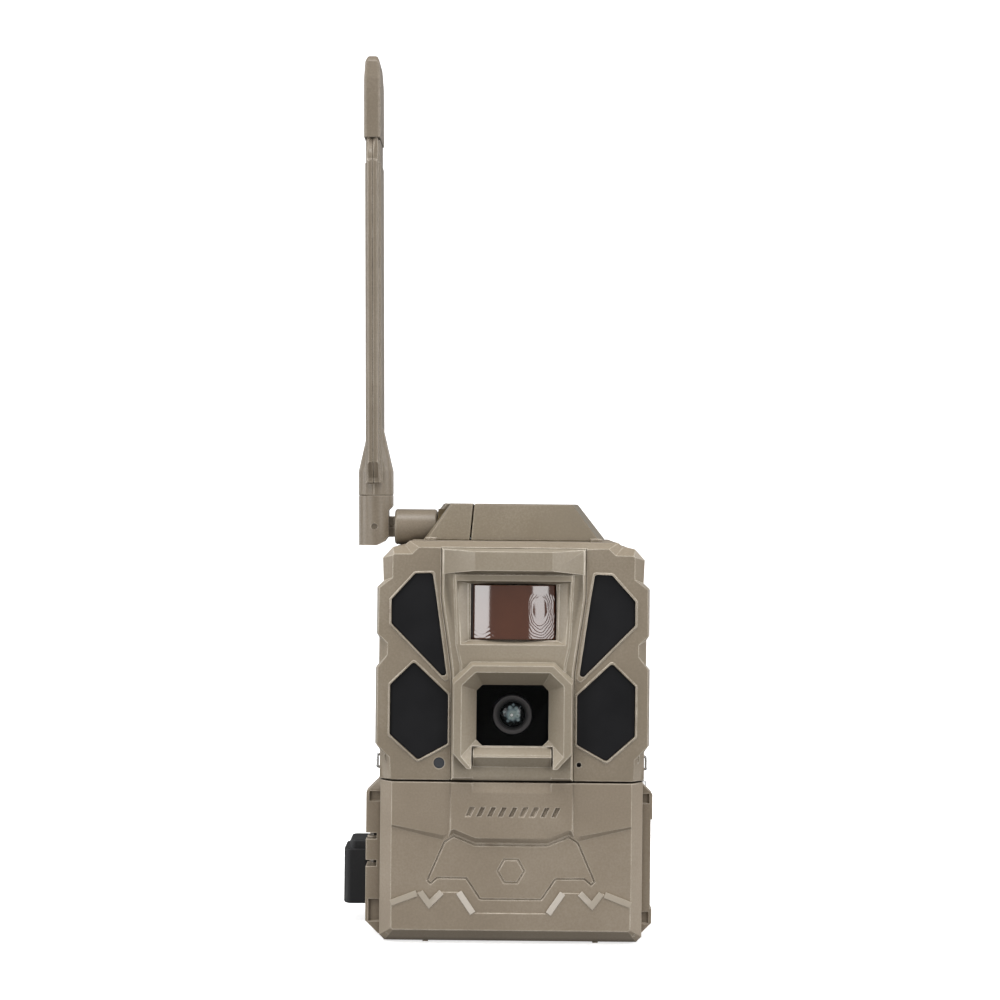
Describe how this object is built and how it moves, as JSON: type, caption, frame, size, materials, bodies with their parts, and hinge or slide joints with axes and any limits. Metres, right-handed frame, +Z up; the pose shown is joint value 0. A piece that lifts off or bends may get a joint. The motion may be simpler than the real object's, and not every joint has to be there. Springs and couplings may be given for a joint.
{
  "type": "trail camera",
  "caption": "Compact cellular trail camera with a hinged lower door, side latch, folding blade antenna, tripod socket and rear strap bracket.",
  "frame": {"origin": "mouth of the tripod socket in the base, under the lens axis", "axes": "+X the viewer's right, +Y from the front to the back, +Z up"},
  "size_m": [0.1019, 0.0825, 0.2894],
  "materials": {
    "shell_light": "light tan moulded plastic with a fine grain",
    "shell_dark": "olive tan moulded plastic with a fine grain",
    "accent_beige": "smooth beige inlay",
    "flash_pane": "near-black satin filter plastic",
    "motion_window": "brown moulded lens plastic",
    "clear_window": "clear coated window",
    "lens_glass": "coated glass with greenish reflections",
    "lens_black": "matte black moulded plastic",
    "soft_black": "black rubber with a soft sheen",
    "steel": "bright steel",
    "brass": "plain brass",
    "circuit_board": "green solder mask",
    "chip_black": "black moulded components",
    "led_clear": "clear emitter domes",
    "cell_wrap": "printed wrap without lettering over a metal can",
    "screen": "dark display glass",
    "button_rubber": "grey rubber keys",
    "coax_jacket": "grey cable jacket"
  },
  "bodies": {
    "camera_body": {"rear_housing": "shell_dark", "front_bezel": "shell_light", "center_mask": "shell_light", "flash_window_upper_left": "flash_pane", "flash_window_lower_left": "flash_pane", "flash_window_upper_right": "flash_pane", "flash_window_lower_right": "flash_pane", "pir_lens": "motion_window", "pir_holder": "lens_black", "pir_sensor": "steel", "lens_window": "clear_window", "lens_shroud": "lens_black", "lens_barrel": "lens_black", "lens_glass": "lens_glass", "lens_holder": "lens_black", "image_sensor": "chip_black", "light_and_sound_sensors": "chip_black", "flash_boards": "circuit_board", "flash_leds": "led_clear", "door_seal": "soft_black", "tripod_insert": "brass", "rear_screws": "steel", "tree_bracket": "shell_dark", "side_lugs": "steel", "hinge_pin": "steel", "dc_jack": "chip_black", "antenna_mount_cap": "shell_dark", "top_hood": "shell_dark", "top_screws": "shell_light", "sma_connector": "brass", "main_board": "circuit_board", "modem_module": "chip_black", "antenna_coax": "coax_jacket", "battery_tray": "lens_black", "battery_cells": "cell_wrap", "battery_contacts": "brass", "control_panel": "lens_black", "control_board": "circuit_board", "lcd_screen": "screen", "port_sockets": "steel"},
    "door": {"lower_door": "shell_dark", "door_accents": "accent_beige", "latch_pin": "steel"},
    "latch": {"latch_arm": "shell_dark", "latch_grip": "soft_black"},
    "coupling_nut": {"antenna_nut": "shell_dark"},
    "antenna_swivel": {"antenna_neck": "shell_dark"},
    "antenna": {"antenna_knuckle": "shell_dark", "antenna_pin": "steel", "antenna_shell_left": "shell_dark", "antenna_shell_right": "shell_dark", "antenna_element": "brass", "antenna_tip": "shell_dark"},
    "back_button": {"button_back": "button_rubber"},
    "down_button": {"button_down": "button_rubber"},
    "up_button": {"button_up": "button_rubber"},
    "ok_button": {"button_ok": "button_rubber"},
    "memory_card": {"sd_card": "chip_black"},
    "inlet_cover": {"dc_plug_cover": "soft_black"},
    "filter_slide": {"ir_cut_filter": "lens_black"}
  },
  "joints": [
    {"name": "door_hinge", "type": "hinge", "parent": "camera_body", "child": "door", "pos_m": [0.0428, -0.017, 0.0255], "axis": [0, 0, 1], "range_deg": [0, 150]},
    {"name": "latch_pivot", "type": "hinge", "parent": "door", "child": "latch", "pos_m": [-0.0446, -0.017, 0.02825], "axis": [0, 0, 1], "range_deg": [0, 75]},
    {"name": "antenna_nut_spin", "type": "hinge", "parent": "camera_body", "child": "coupling_nut", "pos_m": [-0.033, 0.004, 0.1323], "axis": [1, 0, 0], "continuous": true},
    {"name": "antenna_turn", "type": "hinge", "parent": "camera_body", "child": "antenna_swivel", "pos_m": [-0.04, 0.004, 0.1323], "axis": [1, 0, 0], "range_deg": [-90, 90]},
    {"name": "antenna_fold", "type": "hinge", "parent": "antenna_swivel", "child": "antenna", "pos_m": [-0.0466, 0.004, 0.1323], "axis": [0, -1, 0], "range_deg": [0, 89]},
    {"name": "back_button_press", "type": "slide", "parent": "camera_body", "child": "back_button", "axis": [0, 1, 0], "range_m": [0, 0.0007], "stiffness_N_per_m": 900},
    {"name": "down_button_press", "type": "slide", "parent": "camera_body", "child": "down_button", "axis": [0, 1, 0], "range_m": [0, 0.0007], "stiffness_N_per_m": 900},
    {"name": "up_button_press", "type": "slide", "parent": "camera_body", "child": "up_button", "axis": [0, 1, 0], "range_m": [0, 0.0007], "stiffness_N_per_m": 900},
    {"name": "ok_button_press", "type": "slide", "parent": "camera_body", "child": "ok_button", "axis": [0, 1, 0], "range_m": [0, 0.0007], "stiffness_N_per_m": 900},
    {"name": "card_push", "type": "slide", "parent": "camera_body", "child": "memory_card", "axis": [0, 1, 0], "range_m": [0, 0.0015], "stiffness_N_per_m": 600},
    {"name": "inlet_cover_hinge", "type": "hinge", "parent": "camera_body", "child": "inlet_cover", "pos_m": [0.045, 0.016, 0.0686], "axis": [0, 0, 1], "range_deg": [0, 110]},
    {"name": "filter_shift", "type": "slide", "parent": "camera_body", "child": "filter_slide", "axis": [1, 0, 0], "range_m": [0, 0.0058]}
  ]
}
